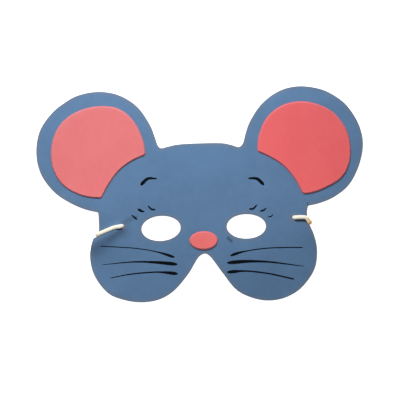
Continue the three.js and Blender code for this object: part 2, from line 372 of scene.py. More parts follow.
@dataclass(frozen=True)
class Loop:
    """A smooth closed outline at even steps, with the unit normals that point into the sheet."""

    points: Array
    inward: Array

    @classmethod
    def cut(cls, line: Array, step: float, soften: float, steady: float = 0.0, hole: bool = False) -> "Loop":
        """Evens a closed line out and rounds its corners as a cutting die's bent steel rule does.

        The line is blurred along its length by a Gaussian, which in its Fourier series scales the term k by
        exp(-(2 pi k soften / length)^2 / 2). The normals come from the same series, blurred further, so that
        rows that follow them do not cross at a corner.

        Args:
            line: The closed line as complex points.
            step: The length between two points.
            soften: The blur's width.
            steady: The further blur of the line that the normals are taken from.
            hole: True where the sheet lies outside the line.

        Returns:
            The loop, with the sheet on the left of its direction.
        """
        area = np.sum(line.real * np.roll(line, -1).imag - np.roll(line, -1).real * line.imag)
        if (area < 0) != hole:
            line = line[::-1]
        closed = np.append(line, line[0])
        lengths = np.append(0, np.cumsum(np.abs(np.diff(closed))))
        count = int(round(lengths[-1] / step))
        even = np.interp(np.arange(count) * lengths[-1] / count, lengths, closed)
        wave = 2j * np.pi * np.fft.fftfreq(count, 1 / count) / lengths[-1]
        series = np.fft.fft(even) * np.exp((wave * soften) ** 2 / 2)
        slope = np.fft.ifft(series * wave * np.exp((wave * steady) ** 2 / 2))
        return cls(np.fft.ifft(series), 1j * slope / np.abs(slope))

    def inset(self, depths: Array) -> Array:
        """Moves the outline into the sheet by each depth, one row for each."""
        return self.points[None, :] + np.asarray(depths)[:, None] * self.inward[None, :]


def inside(points: Array, loops: Sequence[Loop]) -> Array:
    """Tells which points lie on a sheet, by how often a ray to their right crosses its outlines.

    Args:
        points: Complex points.
        loops: The sheet's outlines, its holes among them.

    Returns:
        True for each point that an odd number of crossings puts on the sheet.
    """
    odd = np.zeros(len(points), bool)
    for loop in loops:
        a = loop.points[None, :]
        b = np.roll(loop.points, -1)[None, :]
        for block in np.array_split(np.arange(len(points)), BLOCKS):
            p = points[block, None]
            spans = (a.imag > p.imag) != (b.imag > p.imag)
            rise = np.where(b.imag == a.imag, 1, b.imag - a.imag)
            meets = a.real + (p.imag - a.imag) * (b.real - a.real) / rise
            odd[block] ^= np.sum(spans & (p.real < meets), axis=1) % 2 == 1
    return odd


# The bowed surface


@dataclass(frozen=True)
class Swell:
    """A soft rise of the sheet along a straight line. It falls off over its own reach on each side and past
    its ends as exp(-(off the line / reach)^2 - (past the end / ends)^2), and its reach grows by a spread
    towards its end."""

    at: str
    start: Point
    end: Point
    rise: float
    left: float
    right: float
    ends: float
    spread: float = 0.0

    def height(self, x: Array, y: Array) -> Array:
        """Works out the rise at points of the sheet.

        Args:
            x: The points' places across the face.
            y: Their places up the face.

        Returns:
            The rise at each point.
        """
        line = complex(*self.end) - complex(*self.start)
        local = (x + 1j * y - complex(*self.start)) * np.conj(line) / abs(line)
        share = np.clip(local.real / abs(line), 0, 1)
        reach = np.where(local.imag > 0, self.left, self.right) * (1 + self.spread * share)
        past = np.maximum(np.abs(local.real - abs(line) / 2) - abs(line) / 2, 0)
        return self.rise * np.exp(-((local.imag / reach) ** 2) - (past / self.ends) ** 2)


@dataclass(frozen=True)
class Surface:
    """The face's bow: a flat strip down the middle, with the ear tips and the cheeks down on the floor, a
    faint slanting wave of the sheet, and its swells."""

    crown: float = 0.009
    flat_half: float = 0.024
    ear_reach: float = 0.1230
    cheek_foot: float = 0.0846
    side_radius: float = 0.400
    cheek_row: float = -0.057
    side_row: float = -0.022
    ear_row: float = 0.0
    wave: float = 0.00008
    wave_length: float = 0.071
    wave_slants: Point = (0.4, -0.3)
    swells: tuple[Swell, ...] = (
        Swell("ridge that the elastic draws up", (-0.0615, -0.0220), (-0.0835, -0.0340), 0.0029,
              left=0.0036, right=0.0030, ends=0.0035, spread=1.1),
        Swell("groove that the elastic lies in", (-0.0640, -0.0216), (-0.0795, -0.0272), -0.0005,
              left=0.0020, right=0.0020, ends=0.0015),
        Swell("curl of the right cheek", (0.0220, -0.0900), (0.0560, -0.0870), -0.0062,
              left=0.0270, right=0.0270, ends=0.0140),
        Swell("outer edge of the left cheek", (-0.0845, -0.0600), (-0.0720, -0.0735), 0.0020,
              left=0.0130, right=0.0130, ends=0.0080),
        Swell("outer edge of the right cheek", (0.0680, -0.0760), (0.0800, -0.0660), -0.0012,
              left=0.0110, right=0.0110, ends=0.0040),
        Swell("top of the right ear", (0.0560, 0.0800), (0.0980, 0.0765), -0.0011,
              left=0.0065, right=0.0065, ends=0.0120),
        Swell("underside of the left ear", (-0.1000, -0.0040), (-0.0740, -0.0160), 0.0014,
              left=0.0140, right=0.0080, ends=0.0080),
        Swell("underside of the right ear", (0.0760, -0.0130), (0.0990, -0.0060), 0.0007,
              left=0.0110, right=0.0060, ends=0.0080),
    )

    def curvature(self, y: Array) -> Array:
        """Gives one over the bend's radius, eased from row to row.

        Args:
            y: Places up the face.

        Returns:
            The curvature at each place.
        """
        spans = (self.cheek_foot - self.flat_half, self.ear_reach - self.flat_half)
        cheek, ear = (2 * self.crown / span**2 for span in spans)
        side = 1 / self.side_radius
        low = eased((y - self.cheek_row) / (self.side_row - self.cheek_row))
        high = eased((y - self.side_row) / (self.ear_row - self.side_row))
        return cheek + (side - cheek) * low + (ear - side) * high

    def back(self, x: Array, y: Array) -> Array:
        """Gives the height of the back of the face: the crown, less half the curvature times the squared way
        past the strip, with the swells and the wave.

        Args:
            x: Places across the face.
            y: Places up the face.

        Returns:
            The height at each place.
        """
        past = np.maximum(np.abs(x) - self.flat_half, 0)
        bow = self.crown - past**2 * self.curvature(y) / 2
        swell = sum(swell.height(x, y) for swell in self.swells)
        turn = 2 * np.pi / self.wave_length
        one, two = self.wave_slants
        wave = self.wave * np.sin(turn * (x + one * y)) * np.sin(turn * (y + two * x))
        return bow + swell + wave

    def front(self, x: Array, y: Array) -> Array:
        """Height of the front of the face."""
        return self.back(x, y) + FOAM


# Meshes


@dataclass
class Skin:
    """Vertices and faces of one closed piece, with its attributes and texture places."""

    name: str
    vertices: Array
    faces: list[Array]
    attributes: dict[str, Array] = field(default_factory=dict)
    places: Array | None = None

    def make(self, material: bpy.types.Material) -> bpy.types.Object:
        """Puts the arrays into a mesh and the mesh into the scene.

        Args:
            material: The piece's finish.

        Returns:
            The new object, at the origin.
        """
        mesh = bpy.data.meshes.new(self.name)
        corners = np.concatenate([face.ravel() for face in self.faces]).astype(np.int32)
        totals = np.concatenate([np.full(len(face), face.shape[1]) for face in self.faces]).astype(np.int32)
        starts = (np.cumsum(totals) - totals).astype(np.int32)
        mesh.vertices.add(len(self.vertices))
        mesh.vertices.foreach_set("co", self.vertices.astype(np.float32).ravel())
        mesh.loops.add(len(corners))
        mesh.loops.foreach_set("vertex_index", corners)
        mesh.polygons.add(len(totals))
        mesh.polygons.foreach_set("loop_start", starts)
        mesh.polygons.foreach_set("use_smooth", np.ones(len(totals), bool))
        mesh.update(calc_edges=True)
        for name, values in self.attributes.items():
            layer = mesh.attributes.new(name, "FLOAT", "POINT")
            layer.data.foreach_set("value", values.astype(np.float32).ravel())
        if self.places is not None:
            mesh.uv_layers.new(name="UVMap").data.foreach_set("uv", self.places.astype(np.float32).ravel())
        mesh.validate()
        mesh.materials.append(material)
        piece = bpy.data.objects.new(self.name, mesh)
        bpy.context.scene.collection.objects.link(piece)
        LOG.info("%s: %d vertices, %d faces", self.name, len(self.vertices), len(totals))
        return piece


def ring_faces(rows: int, columns: int, first: int = 0) -> Array:
    """Quads between the rows of closed rings.

    Args:
        rows: How many rings there are.
        columns: How many vertices each ring has.
        first: The index of the first vertex.

    Returns:
        The quads, each from a ring to the next.
    """
    here = np.arange(rows * columns).reshape(rows, columns) + first
    across = np.roll(here, -1, axis=1)
    quads = np.stack([here[:-1], across[:-1], across[1:], here[1:]], axis=-1)
    return quads.reshape(-1, 4)


def carried_frames(path: Array) -> tuple[Array, Array]:
    """Carries a cross-section's two axes along a path without twisting them.

    Each step turns the axes as the path's direction turns there: I + [v] + [v]^2 / (1 + c), where v and c are
    the cross and dot products of the directions. The turns are multiplied up by doubling: after each pass a
    place holds the product of twice as many turns.

    Args:
        path: The path's points.

    Returns:
        The two unit axes across the path at each of its points.
    """
    along = np.gradient(path, axis=0)
    along /= np.linalg.norm(along, axis=1, keepdims=True)
    v = np.cross(along[:-1], along[1:])
    c = np.sum(along[:-1] * along[1:], axis=1)
    skew = np.zeros((len(v), 3, 3))
    skew[:, [2, 0, 1], [1, 2, 0]] = v
    skew[:, [1, 2, 0], [2, 0, 1]] = -v
    turns = np.eye(3) + skew + skew @ skew / (1 + c)[:, None, None]
    total = np.concatenate([np.eye(3)[None], turns])
    reach = 1
    while reach < len(total):
        total[reach:] = total[reach:] @ total[:-reach]
        reach *= 2
    guess = np.eye(3)[np.argmin(np.abs(along[0]))]
    start = np.cross(along[0], guess)
    across = total @ (start / np.linalg.norm(start))
    return across, np.cross(along, across)


def tube_faces(rows: int, columns: int) -> list[Array]:
    """Quads between closed rings, and triangles from the end rings to the poles that follow them.

    Args:
        rows: How many rings there are.
        columns: How many vertices each ring has.

    Returns:
        The quads, the triangles at the start and those at the end.
    """
    ring = np.arange(columns)
    over = np.roll(ring, -1)
    base = rows * columns
    last = base - columns
    start = np.stack([over, ring, np.full(columns, base)], axis=1)
    end = np.stack([ring + last, over + last, np.full(columns, base + 1)], axis=1)
    return [ring_faces(rows, columns), start, end]


def tube_skin(name: str, path: Array, radius: Array) -> Skin:
    """Sweeps rings of a given radius along a path and closes both ends with a point.

    Args:
        name: The piece's name.
        path: The ring centres.
        radius: The radius at each ring and at each angle round it.

    Returns:
        The closed tube. Its texture places are the share of a turn and the length along it.
    """
    rows, columns = radius.shape
    one, two = carried_frames(path)
    angle = 2 * np.pi * np.arange(columns) / columns
    spoke = one[:, None, :] * np.cos(angle)[None, :, None] + two[:, None, :] * np.sin(angle)[None, :, None]
    rings = path[:, None, :] + spoke * radius[:, :, None]
    vertices = np.concatenate([rings.reshape(-1, 3), path[[0, -1]]])
    share = np.arange(columns) / columns
    length = reached(path)
    u0 = np.broadcast_to(share, (rows - 1, columns))
    u1 = u0 + 1 / columns
    v0 = np.broadcast_to(length[:-1, None], u0.shape)
    v1 = np.broadcast_to(length[1:, None], u0.shape)
    quad_places = np.stack([u0, v0, u1, v0, u1, v1, u0, v1], axis=-1).reshape(-1, 2)
    cap = np.stack([share + 1 / columns, share, share], axis=1)
    cap_places = [np.stack([cap, np.full(cap.shape, v)], axis=-1).reshape(-1, 2) for v in length[[0, -1]]]
    places = np.concatenate([quad_places, *cap_places])
    return Skin(name, vertices, tube_faces(rows, columns), places=places)


@dataclass(frozen=True)
class CutEdge:
    """Cross-section of a die-cut foam edge: a round upper edge, a slightly hollow wall that leans back by its
    draft, and a round lower edge. The front's rim is tinted, and a share of the tint bleeds inwards to the
    land."""

    thickness: float
    upper: float
    lower: float
    draft: float = 0.0
    hollow: float = 0.00005
    land: float = 0.0010
    bleed: float = 0.4
    steps: int = 5

    def rows(self) -> dict[str, Array]:
        """Gives the profile from the front to the back of the sheet.

        Returns:
            Columns: inset from the outline, height over the back, edge (1 at the front's rim, less on the
            land) and cut (1 on the wall).
        """
        turn = np.linspace(0, np.pi / 2, self.steps)
        wall = np.linspace(0, 1, self.steps)[1:-1]
        top = self.thickness - self.upper
        front = {"inset": [self.land], "height": [self.thickness], "edge": [self.bleed], "cut": [0.0]}
        upper = {
            "inset": self.draft + self.upper * (1 - np.sin(turn)),
            "height": top + self.upper * np.cos(turn),
            "edge": self.bleed + (1 - self.bleed) * np.sin(turn),
            "cut": np.sin(turn) ** 2,
        }
        side = {
            "inset": self.draft * (1 - wall) + self.hollow * np.sin(np.pi * wall),
            "height": top + (self.lower - top) * wall,
            "edge": np.zeros(len(wall)),
            "cut": np.ones(len(wall)),
        }
        lower = {
            "inset": self.lower * (1 - np.cos(turn)),
            "height": self.lower * (1 - np.sin(turn)),
            "edge": np.zeros(self.steps),
            "cut": np.cos(turn) ** 2,
        }
        back = {"inset": [self.land], "height": [0.0], "edge": [0.0], "cut": [0.0]}
        parts = (front, upper, side, lower, back)
        return {name: np.concatenate([part[name] for part in parts]) for name in front}


@dataclass(frozen=True)
class FoamSheet:
    """A foam sheet cut by loops and laid on a height: its rim is the cut edge carried along each loop, and
    its front and back are one lattice of points, joined to the rim by Delaunay triangles. The lattice keeps a
    share of its step from the rim's land."""

    name: str
    loops: tuple[Loop, ...]
    edge: CutEdge
    base: Height
    lattice: float = 0.0019
    margin: float = 0.6
    merge_mm: float = 1e-6

    def spread(self) -> Array:
        """Spreads the lattice over the sheet, every other row offset by half a step.

        Returns:
            The complex lattice points that keep clear of the rim.
        """
        rim = np.concatenate([loop.points for loop in self.loops])
        low, high = rim.real.min() + 1j * rim.imag.min(), rim.real.max() + 1j * rim.imag.max()
        rows = np.arange(low.imag, high.imag, self.lattice * math.sqrt(0.75))
        columns = np.arange(low.real, high.real, self.lattice)
        shift = np.arange(len(rows)) % 2 * self.lattice / 2
        points = (columns[None, :] + shift[:, None] + 1j * rows[:, None]).ravel()
        points = points[inside(points, self.loops)]
        blocks = np.array_split(points, BLOCKS)
        away = np.concatenate([np.abs(block[:, None] - rim[None, :]).min(axis=1) for block in blocks])
        return points[away > self.edge.land + self.margin * self.lattice]

    def triangles(self, rims: list[Array], spread: Array) -> Array:
        """Joins the rims and the lattice by triangles.

        Args:
            rims: The innermost line of each loop's rim.
            spread: The lattice points.

        Returns:
            Triangles of indices into the rims' points followed by the lattice, facing the front.
        """
        points = np.concatenate([*rims, spread])
        starts = np.cumsum([0] + [len(rim) for rim in rims[:-1]])
        chains = [np.stack([np.arange(len(rim)), np.roll(np.arange(len(rim)), -1)], axis=1) + start
                  for rim, start in zip(rims, starts)]
        flat = np.stack([points.real, points.imag], axis=1) / MM
        chained = np.concatenate(chains).tolist()
        found = geometry.delaunay_2d_cdt(flat.tolist(), chained, [], 0, self.merge_mm)
        source = np.array([origin[0] for origin in found[3]])
        corners = source[np.array(found[2])]
        middle = points[corners].mean(axis=1)
        corners = corners[inside(middle, [Loop(rim, rim) for rim in rims])]
        a, b, c = points[corners].T
        facing = ((b - a) * np.conj(c - a)).imag < 0
        return np.where(facing[:, None], corners, corners[:, ::-1])

    def skin(self) -> Skin:
        """Works out the whole sheet: rims, front and back, all laid on the base height.

        Returns:
            The closed skin, with its edge and cut masks.
        """
        profile = self.edge.rows()
        depth = len(profile["inset"])
        rims = [loop.inset(profile["inset"]) for loop in self.loops]
        flat = np.concatenate([rim.ravel() for rim in rims])
        height = np.concatenate([np.repeat(profile["height"], rim.shape[1]) for rim in rims])
        values = {name: np.concatenate([np.repeat(profile[name], rim.shape[1]) for rim in rims])
                  for name in ("edge", "cut")}
        spread = self.spread()
        corners = self.triangles([rim[0] for rim in rims], spread)
        starts = np.cumsum([0] + [rim.size for rim in rims])
        front_rim = np.concatenate([np.arange(rim.shape[1]) + start for rim, start in zip(rims, starts)])
        back_rim = np.concatenate([np.arange(rim.shape[1]) + start + (depth - 1) * rim.shape[1]
                                   for rim, start in zip(rims, starts)])
        front_index = np.concatenate([front_rim, starts[-1] + np.arange(len(spread))])
        back_index = np.concatenate([back_rim, starts[-1] + len(spread) + np.arange(len(spread))])
        quads = [ring_faces(depth, rim.shape[1], start)[:, ::-1] for rim, start in zip(rims, starts)]
        flat = np.concatenate([flat, spread, spread])
        height = np.concatenate([height, np.full(len(spread), self.edge.thickness), np.zeros(len(spread))])
        vertices = np.stack([flat.real, flat.imag, self.base(flat.real, flat.imag) + height], axis=1)
        pad = np.zeros(2 * len(spread))
        attributes = {name: np.concatenate([column, pad]) for name, column in values.items()}
        faces = [*quads, front_index[corners], back_index[corners[:, ::-1]]]
        return Skin(self.name, vertices, faces, attributes)


# Finishes


class Graph:
    """A node tree that is filled by short calls."""

    def __init__(self, tree: bpy.types.NodeTree) -> None:
        """Keeps the tree."""
        self.tree = tree

    def add(self, kind: str, inputs: dict[Any, Any] | None = None, **settings: Any) -> bpy.types.Node:
        """Adds a node.

        Args:
            kind: The node's type.
            inputs: A value or a socket to link for each named or numbered input.
            settings: Properties of the node.

        Returns:
            The node.
        """
        node = self.tree.nodes.new(kind)
        for name, value in settings.items():
            setattr(node, name, value)
        self.fill(node, inputs or {})
        return node

    def math(self, operation: str, *values: Any) -> bpy.types.NodeSocket:
        """Adds a Math node on values or sockets and gives its result."""
        return self.add("ShaderNodeMath", dict(enumerate(values)), operation=operation).outputs[0]

    def vector(self, operation: str, *values: Any) -> bpy.types.Node:
        """Adds a Vector Math node on vectors or sockets."""
        return self.add("ShaderNodeVectorMath", dict(enumerate(values)), operation=operation)

    def noise(self, place: Any, scale: Any, detail: float = 2.0, rough: float = 0.5) -> bpy.types.NodeSocket:
        """Adds a Noise Texture and gives its value, about 0.5 on average."""
        inputs = {"Vector": place, "Scale": scale, "Detail": detail, "Roughness": rough}
        return self.add("ShaderNodeTexNoise", inputs).outputs[0]

    def ramp(
        self, value: Any, low: float, high: float, to_low: float = 0.0, to_high: float = 1.0
    ) -> bpy.types.NodeSocket:
        """Adds a smooth Map Range from low..high to to_low..to_high and gives its result."""
        inputs = {"Value": value, "From Min": low, "From Max": high, "To Min": to_low, "To Max": to_high}
        return self.add("ShaderNodeMapRange", inputs, interpolation_type="SMOOTHSTEP").outputs[0]

    def mix(self, share: Any, one: Any, two: Any, blend: str = "MIX") -> bpy.types.NodeSocket:
        """Adds a colour Mix and gives its result."""
        inputs = {0: share, 6: one, 7: two}
        return self.add("ShaderNodeMix", inputs, data_type="RGBA", blend_type=blend).outputs[2]

    def group(self, tree: bpy.types.NodeTree, inputs: dict[str, Any]) -> bpy.types.Node:
        """Places a shader node group and fills its inputs with its own values.

        Args:
            tree: The group.
            inputs: A value or a socket to link for each input.

        Returns:
            The group node.
        """
        return self.add("ShaderNodeGroup", inputs, node_tree=tree)

    def fill(self, node: bpy.types.Node, inputs: dict[Any, Any]) -> None:
        """Sets or links inputs of a node.

        Args:
            node: The node.
            inputs: A value or a socket for each named or numbered input.
        """
        for key, value in inputs.items():
            if isinstance(value, bpy.types.NodeSocket):
                self.tree.links.new(value, node.inputs[key])
            else:
                node.inputs[key].default_value = value


def rgba(colour: Colour) -> tuple[float, float, float, float]:
    """A colour with full alpha."""
    return (*colour, 1.0)


def linear(red: int, green: int, blue: int) -> Colour:
    """A screen colour of 0 to 255 as the linear colour that shaders take."""
    shares = (value / 255 for value in (red, green, blue))
    return tuple(s / 12.92 if s <= 0.04045 else ((s + 0.055) / 1.055) ** 2.4 for s in shares)


class Effects:
    """The shader node groups that several finishes share. Noise scales are per metre."""

    CLOUDS: float = 38.0
    BLOTCHES: float = 210.0
    PATCHES: float = 90.0
    NIBBLES: float = 1100.0
    PORE_SHARE: float = 0.7
    FINE_SHARE: float = 0.45
    CELL_WALL: float = 0.6
    CELL_RELIEF: float = 0.5
    TONE_SHARES: tuple[float, float, float] = (0.5, 0.3, 0.2)
    ROUGHNESS: float = 0.74
    ROUGH_SHARE: float = 0.10
    YARNS: int = 5
    YARN_RELIEF: float = 0.12
    YARN_TONE: float = 0.2

    def __init__(self) -> None:
        """Builds each group once."""
        self.cells = self._cells()
        self.broken_rim = self._broken_rim()
        self.smear_and_shade = self._smear_and_shade()
        self.braid = self._braid()

    @staticmethod
    def _open(
        name: str, inputs: dict[str, tuple[str, Any]], outputs: Sequence[str]
    ) -> tuple[Graph, bpy.types.Node, bpy.types.Node]:
        """Starts a group.

        Args:
            name: The group's name.
            inputs: The socket type and first value of each input.
            outputs: The names of its outputs, all plain values.

        Returns:
            The graph to fill, its input node and its output node.
        """
        tree = bpy.data.node_groups.new(name, "ShaderNodeTree")
        for label, (kind, value) in inputs.items():
            socket = tree.interface.new_socket(name=label, in_out="INPUT", socket_type=f"NodeSocket{kind}")
            socket.default_value = value
        for label in outputs:
            tree.interface.new_socket(name=label, in_out="OUTPUT", socket_type="NodeSocketFloat")
        return Graph(tree), tree.nodes.new("NodeGroupInput"), tree.nodes.new("NodeGroupOutput")

    def _cells(self) -> bpy.types.NodeTree:
        """Makes foam: closed cells that show as fine grain on the skin and as larger pores on a cut wall.

        Returns:
            The group, from a place, a grain and a cut mask to a tone, a roughness and a height.
        """
        inputs = {"Vector": ("Vector", (0, 0, 0)), "Grain": ("Float", 2600.0), "Cut": ("Float", 0.0)}
        graph, start, end = self._open("foam_cells", inputs, ("Tone", "Roughness", "Height"))
        place, grain, cut = (start.outputs[name] for name in inputs)
        scales = (grain, graph.math("MULTIPLY", grain, self.PORE_SHARE))
        cells = [graph.add("ShaderNodeTexVoronoi", {"Vector": place, "Scale": scale}) for scale in scales]
        cell, pore = (node.outputs["Distance"] for node in cells)
        fine = graph.noise(place, graph.math("MULTIPLY", grain, self.FINE_SHARE), detail=3.0, rough=0.6)
        cloud = graph.noise(place, self.CLOUDS, detail=3.0, rough=0.55)
        blotch = graph.noise(place, self.BLOTCHES)
        dome = graph.math("SUBTRACT", self.CELL_WALL, cell)
        skin = graph.math("MULTIPLY_ADD", dome, self.CELL_RELIEF, fine)
        pores = graph.ramp(pore, low=0.15, high=0.5, to_low=-0.9, to_high=0.6)
        open_pore = graph.math("MULTIPLY", pores, cut)
        height = graph.math("ADD", skin, open_pore)
        clouds, blotches, grains = self.TONE_SHARES
        tone = graph.math("MULTIPLY_ADD", cloud, clouds, graph.math("MULTIPLY", blotch, blotches))
        tone = graph.math("MULTIPLY_ADD", fine, grains, tone)
        rough = graph.math("MULTIPLY_ADD", fine, self.ROUGH_SHARE, self.ROUGHNESS)
        rough = graph.math("MULTIPLY_ADD", blotch, self.ROUGH_SHARE, rough)
        graph.fill(end, {"Tone": tone, "Roughness": rough, "Height": height})
        return graph.tree

    def _broken_rim(self) -> bpy.types.NodeTree:
        """Makes a broken rim mask: an edge mask that is broken up along its length by two sizes of noise.

        Returns:
            The group, from a place, an edge mask and an amount to a mask.
        """
        inputs = {"Vector": ("Vector", (0, 0, 0)), "Edge": ("Float", 0.0), "Amount": ("Float", 0.5)}
        graph, start, end = self._open("broken_rim_mask", inputs, ("Mask",))
        place, edge, amount = (start.outputs[name] for name in inputs)
        patches = graph.noise(place, self.PATCHES, detail=3.0, rough=0.6)
        patches = graph.ramp(patches, low=0.30, high=0.62, to_low=0.55)
        nibbles = graph.ramp(graph.noise(place, self.NIBBLES), low=0.25, high=0.65, to_low=0.7)
        broken = graph.math("MULTIPLY", graph.math("MULTIPLY", patches, nibbles), edge)
        graph.fill(end, {"Mask": graph.math("MULTIPLY", broken, amount)})
        return graph.tree

    def _smear_and_shade(self) -> bpy.types.NodeTree:
        """Makes a mask on the front for smudges and for painted shade: 1 along a line, fading over its width
        and broken into specks.

        Returns:
            The group, from a place, a line's ends, its width, its specks and how solid it is to a mask.
        """
        inputs = {
            "Vector": ("Vector", (0, 0, 0)), "From": ("Vector", (0, 0, 0)), "To": ("Vector", (0.01, 0, 0)),
            "Width": ("Float", 0.002), "Specks": ("Float", 900.0), "Solid": ("Float", 0.5),
        }
        graph, start, end = self._open("smear_and_shade", inputs, ("Mask",))
        place, tail, head, width, specks, solid = (start.outputs[name] for name in inputs)
        away = graph.vector("SUBTRACT", place, tail).outputs[0]
        flat = graph.vector("MULTIPLY", away, (1, 1, 0)).outputs[0]
        line = graph.vector("SUBTRACT", head, tail).outputs[0]
        along = graph.vector("DOT_PRODUCT", flat, line).outputs["Value"]
        whole = graph.vector("DOT_PRODUCT", line, line).outputs["Value"]
        share = graph.add("ShaderNodeClamp", {"Value": graph.math("DIVIDE", along, whole)}).outputs[0]
        foot = graph.add("ShaderNodeVectorMath", {0: line, "Scale": share}, operation="SCALE").outputs[0]
        off = graph.vector("LENGTH", graph.vector("SUBTRACT", flat, foot).outputs[0]).outputs["Value"]
        soft = graph.ramp(graph.math("DIVIDE", off, width), low=0.0, high=1.0, to_low=1.0, to_high=0.0)
        speck = graph.ramp(graph.noise(place, specks, detail=3.0, rough=0.65), low=0.46, high=0.60)
        kept = graph.math("MULTIPLY_ADD", graph.math("SUBTRACT", 1.0, solid), speck, solid)
        graph.fill(end, {"Mask": graph.math("MULTIPLY", soft, kept)})
        return graph.tree

    def _braid(self) -> bpy.types.NodeTree:
        """Makes a braid: cos(2 pi (n u + v / p)) cos(2 pi (n u - v / p)), with fine yarns along its strands.

        Returns:
            The group, from texture places, a number of strands and a pitch to gaps, a tone and a height.
        """
        inputs = {"UV": ("Vector", (0, 0, 0)), "Strands": ("Float", 6.0), "Pitch": ("Float", 0.0024)}
        graph, start, end = self._open("braid", inputs, ("Gap", "Tone", "Height"))
        place, strands, pitch = (start.outputs[name] for name in inputs)
        parts = graph.add("ShaderNodeSeparateXYZ", {0: place})
        around = graph.math("MULTIPLY", parts.outputs[0], strands)
        along = graph.math("DIVIDE", parts.outputs[1], pitch)
        one, two = (graph.math(kind, around, along) for kind in ("ADD", "SUBTRACT"))
        waves = [graph.math("COSINE", graph.math("MULTIPLY", phase, 2 * math.pi)) for phase in (one, two)]
        weave = graph.math("MULTIPLY", *waves)
        yarn = graph.math("COSINE", graph.math("MULTIPLY", one, 2 * math.pi * self.YARNS))
        height = graph.math("MULTIPLY_ADD", yarn, self.YARN_RELIEF, weave)
        tone = graph.math("MULTIPLY_ADD", yarn, self.YARN_TONE, 0.5)
        gap_shade = graph.ramp(weave, low=-1.0, high=0.1, to_low=1.0, to_high=0.0)
        graph.fill(end, {"Gap": gap_shade, "Tone": tone, "Height": height})
        return graph.tree


def new_material(name: str) -> tuple[bpy.types.Material, Graph, bpy.types.Node]:
    """Starts a node material.

    Args:
        name: The material's name.

    Returns:
        The material, its graph, and its Principled shader.
    """
    material = bpy.data.materials.new(name)
    material.use_nodes = True
    graph = Graph(material.node_tree)
    shader = next(node for node in material.node_tree.nodes if node.type == "BSDF_PRINCIPLED")
    return material, graph, shader


@dataclass(frozen=True)
class SmearAndShade:
    """A line mark on the foam or the elastic, used for real smudges and for painted shade: its line, its
    width, how broken it is and how dark.
    """

    start: Point
    end: Point
    width: float
    specks: float
    solid: float
    strength: float

    def inputs(self, place: bpy.types.NodeSocket) -> dict[str, Any]:
        """What the line-mask group takes for this mark, at places of the piece."""
        return {
            "Vector": place, "From": (*self.start, 0), "To": (*self.end, 0), "Width": self.width,
            "Specks": self.specks, "Solid": self.solid,
        }


@dataclass(frozen=True)
class FoamFinish:
    """Matt closed-cell craft foam: a deep and a light tint, a greyer tint on the rims, and marks, some of
    them painted shade. A painted lightening towards the foot, where there is one, multiplies the colour and
    grows from the top row to the foot row."""

    name: str
    slot: str
    deep: Colour
    light: Colour
    edge: Colour
    edge_share: float
    grain: float = 2600.0
    sheen: float = 0.12
    bump: float = 0.16
    bump_depth: float = 0.00012
    # The colour of the smudges and of the painted shade lines.
    mark: Colour = (0.010, 0.016, 0.028)
    top: float = 0.069
    foot: float = 0.0
    foot_painted_light: Colour | None = None
    smears_and_shade: tuple[SmearAndShade, ...] = ()

    def material(self, effects: Effects) -> bpy.types.Material:
        """Builds the finish.

        Args:
            effects: The shared node groups.

        Returns:
            The material.
        """
        material, graph, shader = new_material(self.name)
        place = graph.add("ShaderNodeTexCoord").outputs["Object"]
        cut = graph.add("ShaderNodeAttribute", attribute_name="cut").outputs["Fac"]
        edge = graph.add("ShaderNodeAttribute", attribute_name="edge").outputs["Fac"]
        cells = graph.group(effects.cells, {"Vector": place, "Grain": self.grain, "Cut": cut})
        broken_rim = graph.group(effects.broken_rim, {"Vector": place, "Edge": edge, "Amount": self.edge_share})
        tone = graph.ramp(cells.outputs["Tone"], low=0.25, high=0.75)
        colour = graph.mix(tone, rgba(self.deep), rgba(self.light))
        # Painted light: the colour grows lighter towards the lining's foot, where the key light falls off.
        if self.foot_painted_light is not None:
            row = graph.add("ShaderNodeSeparateXYZ", {0: place}).outputs[1]
            share = graph.ramp(row, low=self.foot, high=self.top, to_low=1.0, to_high=0.0)
            colour = graph.mix(share, colour, rgba(self.foot_painted_light), "MULTIPLY")
        colour = graph.mix(broken_rim.outputs["Mask"], colour, rgba(self.edge))
        # Each line darkens the colour: some are real smudges, the rest painted shade and shadow by the
        # elastic.
        for smear_and_shade in self.smears_and_shade:
            mask = graph.group(effects.smear_and_shade, smear_and_shade.inputs(place)).outputs["Mask"]
            colour = graph.mix(graph.math("MULTIPLY", mask, smear_and_shade.strength), colour, rgba(self.mark))
        relief = {"Height": cells.outputs["Height"], "Strength": self.bump, "Distance": self.bump_depth}
        bump = graph.add("ShaderNodeBump", relief)
        graph.fill(shader, {
            "Base Color": colour, "Roughness": cells.outputs["Roughness"], "Normal": bump.outputs[0],
            "Specular IOR Level": 0.35, "Sheen Weight": self.sheen, "Sheen Roughness": 0.5,
        })
        return material


